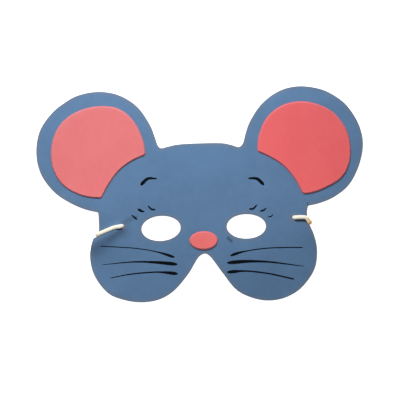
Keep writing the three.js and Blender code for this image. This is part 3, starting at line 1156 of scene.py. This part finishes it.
@dataclass(frozen=True)
class ElasticFinish:
    """Braided cotton cover over rubber: cream yarn, with warmer, darker painted shade in the gaps between its
    strands and along given lines.
    """

    name: str
    slot: str
    yarn: Colour
    warm: Colour
    gap_shade: Colour
    end_shade: Colour
    strands: float
    pitch: float
    gap_shade_share: float = 0.22
    handling: float = 60.0
    fuzz: float = 6000.0
    fuzz_relief: float = 0.5
    roughness: float = 0.72
    rough_share: float = 0.1
    bump: float = 0.35
    bump_depth: float = 0.0001
    end_shades: tuple[SmearAndShade, ...] = ()

    def material(self, effects: Effects) -> bpy.types.Material:
        """Builds the finish.

        Args:
            effects: The shared node groups.

        Returns:
            The material.
        """
        material, graph, shader = new_material(self.name)
        uv = graph.add("ShaderNodeTexCoord").outputs["UV"]
        place = graph.add("ShaderNodeTexCoord").outputs["Object"]
        braid = graph.group(effects.braid, {"UV": uv, "Strands": self.strands, "Pitch": self.pitch})
        handled = graph.ramp(graph.noise(place, self.handling), low=0.35, high=0.7)
        colour = graph.mix(handled, rgba(self.yarn), rgba(self.warm))
        # Painted shade: the gaps between the strands are darkened in the colour.
        gaps = graph.math("MULTIPLY", braid.outputs["Gap"], self.gap_shade_share)
        colour = graph.mix(gaps, colour, rgba(self.gap_shade))
        # Painted warm shade along each given line.
        for end_shade in self.end_shades:
            mask = graph.group(effects.smear_and_shade, end_shade.inputs(place)).outputs["Mask"]
            colour = graph.mix(graph.math("MULTIPLY", mask, end_shade.strength), colour, rgba(self.end_shade))
        fuzz = graph.noise(place, self.fuzz, rough=0.6)
        height = graph.math("MULTIPLY_ADD", fuzz, self.fuzz_relief, braid.outputs["Height"])
        relief = {"Height": height, "Strength": self.bump, "Distance": self.bump_depth}
        bump = graph.add("ShaderNodeBump", relief)
        rough = graph.math("MULTIPLY_ADD", braid.outputs["Tone"], self.rough_share, self.roughness)
        graph.fill(shader, {
            "Base Color": colour, "Roughness": rough, "Normal": bump.outputs[0],
            "Specular IOR Level": 0.3, "Sheen Weight": 0.25, "Sheen Roughness": 0.4, "Subsurface Weight": 0.4,
            "Subsurface Radius": (1.0, 0.9, 0.7), "Subsurface Scale": 0.001,
        })
        return material


@dataclass(frozen=True)
class InkFinish:
    """Screen-printed matt ink: near black, thin and specked with the foam's colour towards a stroke's rim."""

    name: str
    slot: str
    ink: Colour
    thin: Colour
    worn: float = 0.12
    grain: float = 2600.0
    bump: float = 0.12
    bump_depth: float = 0.0001

    def material(self, effects: Effects) -> bpy.types.Material:
        """Builds the finish.

        Args:
            effects: The shared node groups.

        Returns:
            The material.
        """
        material, graph, shader = new_material(self.name)
        place = graph.add("ShaderNodeTexCoord").outputs["Object"]
        rim = graph.add("ShaderNodeAttribute", attribute_name="edge").outputs["Fac"]
        broken_rim = graph.group(effects.broken_rim, {"Vector": place, "Edge": rim, "Amount": self.worn})
        cells = graph.group(effects.cells, {"Vector": place, "Grain": self.grain, "Cut": 0.0})
        colour = graph.mix(broken_rim.outputs["Mask"], rgba(self.ink), rgba(self.thin))
        relief = {"Height": cells.outputs["Height"], "Strength": self.bump, "Distance": self.bump_depth}
        bump = graph.add("ShaderNodeBump", relief)
        graph.fill(shader, {
            "Base Color": colour, "Roughness": cells.outputs["Roughness"], "Normal": bump.outputs[0],
            "Specular IOR Level": 0.08,
        })
        return material


BLUE_FOAM = FoamFinish(
    name="blue_foam",
    slot="blue_foam",
    deep=linear(80, 113, 149),
    light=linear(89, 123, 160),
    edge=linear(124, 116, 108),
    edge_share=0.9,
    smears_and_shade=(
        # Real smudges by the right eye and by the left outer lashes, then a short dark line at the right
        # ear's corner.
        SmearAndShade((0.0196, -0.0324), (0.0218, -0.0348), 0.0019, 1500.0, 0.75, 0.75),
        SmearAndShade((-0.0495, -0.0145), (-0.0600, -0.0190), 0.0032, 1100.0, 0.10, 0.55),
        SmearAndShade((0.0799, -0.0072), (0.0801, -0.0092), 0.0006, 2000.0, 0.9, 0.85),
        # Painted shade and shadow: the ridge's lower flank below the left elastic, under that elastic by its
        # hole, round the left hole, under the right elastic and where it turns round the right edge.
        SmearAndShade((-0.0620, -0.0246), (-0.0790, -0.0372), 0.0060, 300.0, 0.8, 0.16),
        SmearAndShade((-0.0632, -0.0235), (-0.0600, -0.0230), 0.0011, 1500.0, 0.95, 0.7),
        SmearAndShade((-0.0570, -0.0185), (-0.0580, -0.0275), 0.0068, 300.0, 0.85, 0.17),
        SmearAndShade((0.0702, -0.0203), (0.0780, -0.0206), 0.0011, 1500.0, 0.95, 0.7),
        SmearAndShade((0.0780, -0.0208), (0.0796, -0.0232), 0.0012, 1500.0, 0.95, 0.6),
    ),
)
# Painted sheen: the left lining's tints are paler and less saturated than the right lining's.
CORAL_LEFT = FoamFinish(
    name="coral_foam_left_painted_sheen",
    slot="coral_foam",
    deep=linear(208, 107, 110),
    light=linear(214, 115, 117),
    edge=linear(192, 150, 160),
    edge_share=0.75,
    # Painted light towards the foot, which the right lining takes from here too.
    foot_painted_light=(1.11, 1.06, 1.05),
)
CORAL_RIGHT = replace(
    CORAL_LEFT,
    name="coral_foam_right",
    deep=linear(216, 90, 94),
    light=linear(222, 98, 100),
    edge=linear(183, 138, 150),
)
CORAL_NOSE = replace(
    CORAL_LEFT,
    name="coral_foam_nose",
    deep=linear(229, 107, 105),
    light=linear(237, 116, 114),
    edge=linear(186, 140, 155),
    foot_painted_light=None,
)
CREAM_ELASTIC = ElasticFinish(
    name="cream_elastic",
    slot="cream_elastic",
    yarn=linear(255, 252, 241),
    warm=linear(253, 246, 226),
    # Painted shade in the braid's gaps.
    gap_shade=linear(222, 194, 148),
    # Painted warm shade on the cord's end, where it turns round the right cheek's edge away from the key
    # light.
    end_shade=linear(229, 186, 116),
    strands=6.0,
    pitch=0.0024,
    end_shades=(SmearAndShade((0.0804, -0.0200), (0.0818, -0.0240), 0.0028, 400.0, 0.9, 0.9),),
)
BLACK_INK = InkFinish(name="black_ink", slot="black_ink", ink=linear(5, 9, 16), thin=linear(40, 60, 84))


# Pieces


@dataclass
class FoamFace:
    """The face sheet with its eye holes and cord holes."""

    surface: Surface
    edge: CutEdge = CutEdge(thickness=FOAM, upper=0.0005, lower=0.0004)
    step: float = 0.0007
    soften: float = 0.0005
    steady: float = 0.0020
    cord_hole: float = 0.0030

    def loops(self) -> tuple[Loop, ...]:
        """Cuts the outline, the eye holes and the cord holes.

        Returns:
            The loops, the outline first.
        """
        rows = (TOP_MIDDLE, *FACE_ROWS, NOTCH, *reversed(FACE_ROWS))
        sides = (*[Side.RIGHT] * (len(FACE_ROWS) + 2), *[Side.LEFT] * len(FACE_ROWS))
        outer = Loop.cut(outline(rows, sides), self.step, self.soften, self.steady)
        eyes = [Loop.cut(eye.line(), self.step, 0.0, hole=True) for eye in EYES.values()]
        cords = [Oval(threading.hole, self.cord_hole, self.cord_hole) for threading in THREADING.values()]
        holes = [Loop.cut(cord.line(), self.step / 2, 0.0, hole=True) for cord in cords]
        return (outer, *eyes, *holes)

    def build(self, effects: Effects) -> bpy.types.Object:
        """Makes the sheet, dresses it and puts it in the face's place.

        Args:
            effects: The shared node groups.

        Returns:
            The piece.
        """
        sheet = FoamSheet("face_foam", self.loops(), self.edge, self.surface.back)
        piece = sheet.skin().make(BLUE_FOAM.material(effects))
        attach(piece, BODY)
        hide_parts("mask_face")
        return piece


@dataclass
class GluedFoam:
    """The pieces that are glued on the face: two ear linings and the nose."""

    surface: Surface
    edge: CutEdge = CutEdge(
        thickness=0.0017, upper=0.00035, lower=0.0002, draft=0.0007, land=0.00135, bleed=0.1
    )
    glue: float = 0.00004
    step: float = 0.0008
    soften: float = 0.0010
    steady: float = 0.0022

    def base(self, x: Array, y: Array) -> Array:
        """Height of the glue on the face."""
        return self.surface.front(x, y) + self.glue

    def _glue(
        self, name: str, line: Array, node: str, finish: FoamFinish, effects: Effects
    ) -> bpy.types.Object:
        """Makes one glued piece.

        Args:
            name: The piece's name.
            line: Its outline.
            node: The solid that it stands for.
            finish: Its foam.
            effects: The shared node groups.

        Returns:
            The piece.
        """
        loop = Loop.cut(line, self.step, self.soften, self.steady)
        piece = FoamSheet(name, (loop,), self.edge, self.base).skin().make(finish.material(effects))
        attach(piece, BODY)
        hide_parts(node)
        return piece

    def build(self, effects: Effects) -> list[bpy.types.Object]:
        """Makes the linings and the nose.

        Args:
            effects: The shared node groups.

        Returns:
            The three pieces.
        """
        linings = []
        for side, finish in ((Side.LEFT, CORAL_LEFT), (Side.RIGHT, CORAL_RIGHT)):
            line = outline(LINING_ROWS, [side] * len(LINING_ROWS))
            node = f"ear_lining_{side.value}"
            linings.append(self._glue(f"{node}_foam", line, node, finish, effects))
        return [*linings, self._glue("nose_foam", NOSE.line(), "nose", CORAL_NOSE, effects)]


@dataclass
class Print:
    """The printed brows, lashes and whiskers, as thin films of ink on the front of the face. Each thins by a
    power, runs out over a share of its length, rounds off over some widths of its tail, and stops a small
    share short of the places where its width would be nothing."""

    surface: Surface
    film: float = 0.00007
    sunk: float = 0.00004
    stations: int = 96
    sides: int = 16
    power: float = 2.4
    run_out: float = 0.4
    round_off: float = 2.5
    margin: float = 0.004

    def widths(self, stroke: Stroke, share: Array, length: float) -> Array:
        """Half the stroke's width: thick near its start, easing to its tail, with both ends rounded.

        Args:
            stroke: The stroke.
            share: Places along it, from 0 to 1.
            length: Its whole length.

        Returns:
            tail + (thick - tail) exp(-(share / fade)^power), halved, times a quarter ellipse at each end. The
            tail loses its point's share where it runs out.
        """
        tail = stroke.tail * (1 - stroke.point * np.clip(1 - (1 - share) / self.run_out, 0, 1))
        body = tail + (stroke.thick - tail) * np.exp(-((share / stroke.fade) ** self.power))
        start = np.clip(share * length / (stroke.mark.value * stroke.thick), 0, 1)
        end = np.clip((1 - share) * length / (self.round_off * stroke.tail), 0, 1)
        return body / 2 * np.sqrt(1 - (1 - start) ** 2) * np.sqrt(1 - (1 - end) ** 2)

    def skin(self, stroke: Stroke) -> Skin:
        """Carries a flat lens along the stroke's line: width cos a across, film sin a above the foam.

        Args:
            stroke: The stroke.

        Returns:
            The closed film, with |cos a|^3 as its rim mask.
        """
        line = evenly(spline(np.array(stroke.line)), self.stations)
        flat = line[:, 0] + 1j * line[:, 1]
        slope = np.gradient(flat)
        side = 1j * slope / np.abs(slope)
        length = np.sum(np.abs(np.diff(flat)))
        share = np.linspace(self.margin, 1 - self.margin, self.stations)
        half = self.widths(stroke, share, length)
        angle = 2 * np.pi * np.arange(self.sides) / self.sides
        across = flat[:, None] + side[:, None] * half[:, None] * np.cos(angle)
        lift = np.where(np.sin(angle) > 0, self.film, self.sunk) * np.sin(angle)
        height = self.surface.front(across.real, across.imag) + lift
        rings = np.stack([across.real, across.imag, height], axis=-1)
        ends = flat[[0, -1]]
        poles = np.stack([ends.real, ends.imag, self.surface.front(ends.real, ends.imag)], axis=-1)
        rim = np.broadcast_to(np.abs(np.cos(angle)) ** 3, across.shape).ravel()
        faces = [face[:, ::-1] for face in tube_faces(self.stations, self.sides)]
        vertices = np.concatenate([rings.reshape(-1, 3), poles])
        return Skin(stroke.name, vertices, faces, {"edge": np.append(rim, [1.0, 1.0])})

    def build(self, effects: Effects) -> list[bpy.types.Object]:
        """Prints every stroke.

        Args:
            effects: The shared node groups.

        Returns:
            One piece for each stroke.
        """
        material = BLACK_INK.material(effects)
        pieces = [self.skin(stroke).make(material) for stroke in STROKES]
        for piece in pieces:
            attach(piece, BODY)
        return pieces


@dataclass
class Elastic:
    """The round elastic from knot to knot: up through a cheek, over its front, round its edge, loosely along
    the floor behind the face, and the same way back through the other cheek."""

    surface: Surface
    length: float = 0.308
    clear: float = 0.00005
    flat: float = 0.74
    ring_step: float = 0.0003
    sides: int = 30
    relief: float = 0.02
    ease: float = 0.0005
    rise: float = 0.0022
    knot_radius: float = 0.00100
    knot_wide: float = 0.00078
    knot_high: float = 0.00105
    knot_gap: float = 0.42
    knot_points: int = 40
    knot_drop: float = 0.0034
    neck_drops: tuple[float, float] = (0.0002, 0.0012)
    tail: float = 0.008
    tail_shares: tuple[float, float] = (0.4, 1.0)
    tail_heights: tuple[float, float] = (0.0022, 0.00125)

    def on_front(self, place: Point, lift: float = 0.0) -> Array:
        """A point over the front of the face."""
        x, y = place
        return np.array([x, y, float(self.surface.front(np.array(x), np.array(y))) + lift])

    def on_floor(self, place: Point) -> Array:
        """The elastic's middle where it lies on the floor."""
        return np.array([*place, CORD / 2 + self.clear])

    @staticmethod
    def turn(middle: Array, start: Array, end: Array, last: float, points: int = 5) -> Array:
        """Points of an ellipse, middle + start cos a + end sin a, from 0 to a last angle in degrees."""
        angle = np.radians(np.linspace(0, last, points))[:, None]
        return middle + start * np.cos(angle) + end * np.sin(angle)

    def threaded(self, side: Side) -> Array:
        """The way from a knot through the cheek to the floor.

        Args:
            side: The cheek.

        Returns:
            Points: a quarter turn up the hole, along the front, a half turn round the foam's edge that starts
            a little before it, and in again along the floor.
        """
        threading = THREADING[side]
        up = np.array([0.0, 0.0, 1.0])
        lift = self.flat * CORD / 2 + self.clear
        over = lift - threading.sunk
        reach = CORD / 2 + self.clear + self.ease
        away = self.heading(threading.hole, threading.front[0]) * self.rise
        out = self.heading(threading.front[-1], threading.edge)
        under = self.on_front(threading.hole) + away - up * FOAM
        rim = self.on_front(threading.edge) - out * self.ease - up * FOAM / 2
        return np.concatenate([
            self.turn(under, -away, up * (FOAM + over), 90),
            [self.on_front(place, over) for place in threading.front],
            self.turn(rim, up * (FOAM / 2 + over), out * reach, 75),
            self.turn(rim, out * reach, -up * (FOAM / 2 + lift), 90),
            [self.on_floor(place) for place in threading.lead],
        ])

    @staticmethod
    def heading(start: Point, end: Point) -> Array:
        """The level unit direction from one place to another."""
        line = np.array([end[0] - start[0], end[1] - start[1], 0.0])
        return line / np.linalg.norm(line)

    def path(self) -> Array:
        """Carries the elastic from the left knot to the right one.

        Returns:
            The ring centres, at even steps.
        """
        strap = [self.on_floor(place) for place in STRAP_ROUTE]
        points = np.concatenate([self.threaded(Side.LEFT), strap, self.threaded(Side.RIGHT)[::-1]])
        line = spline(points)
        line[:, 2] = np.maximum(line[:, 2], CORD / 2 + self.clear)
        return evenly(line, int(reached(line)[-1] / self.ring_step))

    def braided(self, path: Array, radius: float) -> Array:
        """Radii of a braided cord: the mean radius with the braid's waves on it.

        Args:
            path: The ring centres.
            radius: The mean radius.

        Returns:
            radius (1 + relief cos(2 pi (n u + v / p)) cos(2 pi (n u - v / p))), by ring and by angle.
        """
        around = CREAM_ELASTIC.strands * np.arange(self.sides)[None, :] / self.sides
        along = reached(path)[:, None] / CREAM_ELASTIC.pitch
        waves = np.cos(2 * np.pi * (around + along)) * np.cos(2 * np.pi * (around - along))
        return radius * (1 + self.relief * waves)

    def flattened(self, skin: Skin, path: Array) -> Skin:
        """Presses the cord out of round.

        Where it lies on the front, each ring's heights shrink towards its centre's by a share that eases from
        1 near the floor to the flat share on the front. Where it turns round an edge, each ring widens along
        the edge by the spread times exp(-(away / radius)^2).

        Args:
            skin: The round cord.
            path: Its ring centres.

        Returns:
            The same skin, pressed.
        """
        centre = np.concatenate([np.repeat(path, self.sides, axis=0), path[[0, -1]]])
        off = skin.vertices - centre
        off[:, 2] *= 1 - (1 - self.flat) * eased(centre[:, 2] / CORD - 1)
        for threading in THREADING.values():
            out = self.heading(threading.front[-1], threading.edge)[:2]
            along = np.array([-out[1], out[0]])
            away = (centre[:, :2] - threading.edge) / (CORD / 2) - out
            wider = threading.spread * np.exp(-np.sum(away**2, axis=1))
            off[:, :2] += (wider * (off[:, :2] @ along))[:, None] * along
        skin.vertices = centre + off
        return skin

    def knot_path(self, side: Side) -> Array:
        """The way of an overhand knot under a hole: down from it, round a trefoil, and out into a short tail.

        The trefoil is x = sin t + 2 sin 2t, y = cos t - 2 cos 2t, z = -sin 3t, opened at its outermost point,
        which lies under the hole.

        Args:
            side: The cheek that the knot is behind.

        Returns:
            The ring centres.
        """
        x, y = THREADING[side].hole
        back = float(self.surface.back(np.array(x), np.array(y)))
        opening = math.pi / 3
        t = np.linspace(opening + self.knot_gap, opening + 2 * np.pi - self.knot_gap, self.knot_points)
        across = self.knot_wide * (np.sin(t) + 2 * np.sin(2 * t))
        upward = self.knot_wide * (np.cos(t) - 2 * np.cos(2 * t))
        trefoil = np.stack([across, upward, -self.knot_high * np.sin(3 * t)], axis=1)
        opened = 3 * self.knot_wide * np.array([math.sin(opening), math.cos(opening), 0.0])
        middle = np.array([x, y, back - self.knot_drop]) - opened
        first = np.array([[x, y, back - drop] for drop in self.neck_drops])
        out = trefoil[-1] - trefoil[-2]
        out /= np.linalg.norm(out)
        last = middle + trefoil[-1] + out * np.array(self.tail_shares)[:, None] * self.tail
        last[:, 2] = self.tail_heights
        line = spline(np.concatenate([first, middle + trefoil, last]))
        return evenly(line, int(reached(line)[-1] / self.ring_step))

    def build(self, effects: Effects) -> list[bpy.types.Object]:
        """Makes the elastic and its knots.

        Args:
            effects: The shared node groups.

        Returns:
            The elastic, then its knots.
        """
        material = CREAM_ELASTIC.material(effects)
        knots = []
        for side in Side:
            way = self.knot_path(side)
            braid = self.braided(way, self.knot_radius)
            knot = tube_skin(f"elastic_knot_{side.value}", way, braid).make(material)
            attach(knot, BODY)
            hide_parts(f"knot_{side.value}")
            knots.append(knot)
        path = self.path()
        tube = tube_skin("elastic_cord", path, self.braided(path, CORD / 2))
        cord = self.flattened(tube, path).make(material)
        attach(cord, BODY)
        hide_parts("elastic_strap", "elastic_end_left", "elastic_end_right")
        return [cord, *knots]


# Studio


@dataclass(frozen=True)
class Studio:
    """A white floor that glows like a light table, one soft key light from above the ears, a weak even fill,
    and the camera straight above the face."""

    aim: Point = (-0.00079, -0.00318)
    turn_deg: float = 1.62
    reach: float = 2.5
    view_width: float = 0.300
    face_height: float = 0.010
    sensor: float = 36.0
    far: float = 100.0
    floor_half: float = 8.0
    floor_drop: float = 0.0001
    floor_glow: float = 0.97
    floor_specks: float = 30.0
    floor_tints: tuple[Colour, Colour] = ((0.60, 0.60, 0.60), (0.62, 0.62, 0.62))
    key_place: tuple[float, float, float] = (-0.080, 0.365, 0.420)
    key_size: float = 0.15
    key_watts: float = 3.25
    fill: float = 0.28

    def camera(self) -> None:
        """Looks straight down at the face, turned a little, with the photo's width across the frame."""
        data = bpy.data.cameras.new("camera")
        data.sensor_width = self.sensor
        data.lens = self.sensor * self.reach / self.view_width
        data.clip_end = self.far
        camera = bpy.data.objects.new("camera", data)
        camera.location = (*self.aim, self.reach + self.face_height)
        camera.rotation_euler = (0.0, 0.0, -math.radians(self.turn_deg))
        bpy.context.scene.collection.objects.link(camera)
        bpy.context.scene.camera = camera

    def floor(self) -> None:
        """Lays a large white floor just under the mask."""
        half = self.floor_half
        low = -self.floor_drop
        corners = np.array([[-half, -half, low], [half, -half, low], [half, half, low], [-half, half, low]])
        material, graph, shader = new_material("light_table")
        place = graph.add("ShaderNodeTexCoord").outputs["Object"]
        tints = (rgba(tint) for tint in self.floor_tints)
        graph.fill(shader, {
            "Base Color": graph.mix(graph.noise(place, self.floor_specks), *tints), "Roughness": 1.0,
            "Specular IOR Level": 0.0, "Emission Color": rgba(WHITE), "Emission Strength": self.floor_glow,
        })
        Skin("floor", corners, [np.array([[0, 1, 2, 3]])]).make(material)

    def lights(self) -> None:
        """Hangs the key light and sets the even fill."""
        data = bpy.data.lights.new("key", "AREA")
        data.shape = "DISK"
        data.size = self.key_size
        data.energy = self.key_watts
        key = bpy.data.objects.new("key", data)
        key.location = self.key_place
        key.rotation_euler = (-Vector(self.key_place)).to_track_quat("-Z", "Y").to_euler()
        key.visible_camera = False
        bpy.context.scene.collection.objects.link(key)
        world = bpy.data.worlds.new("fill")
        world.use_nodes = True
        background = world.node_tree.nodes["Background"]
        Graph(world.node_tree).fill(background, {"Color": rgba(WHITE), "Strength": self.fill})
        bpy.context.scene.world = world
        bpy.context.scene.view_settings.view_transform = "Standard"

    def build(self) -> None:
        """Sets up the camera, the floor and the lights."""
        self.camera()
        self.floor()
        self.lights()


def main() -> None:
    """Builds the studio, the elastic, the foam and the print."""
    logging.basicConfig(level=logging.INFO, format="%(name)s %(message)s")
    Studio().build()
    effects = Effects()
    surface = Surface()
    for maker in (Elastic(surface), FoamFace(surface), GluedFoam(surface), Print(surface)):
        maker.build(effects)
        LOG.info("%s done", type(maker).__name__)


if __name__ == "__main__":
    main()
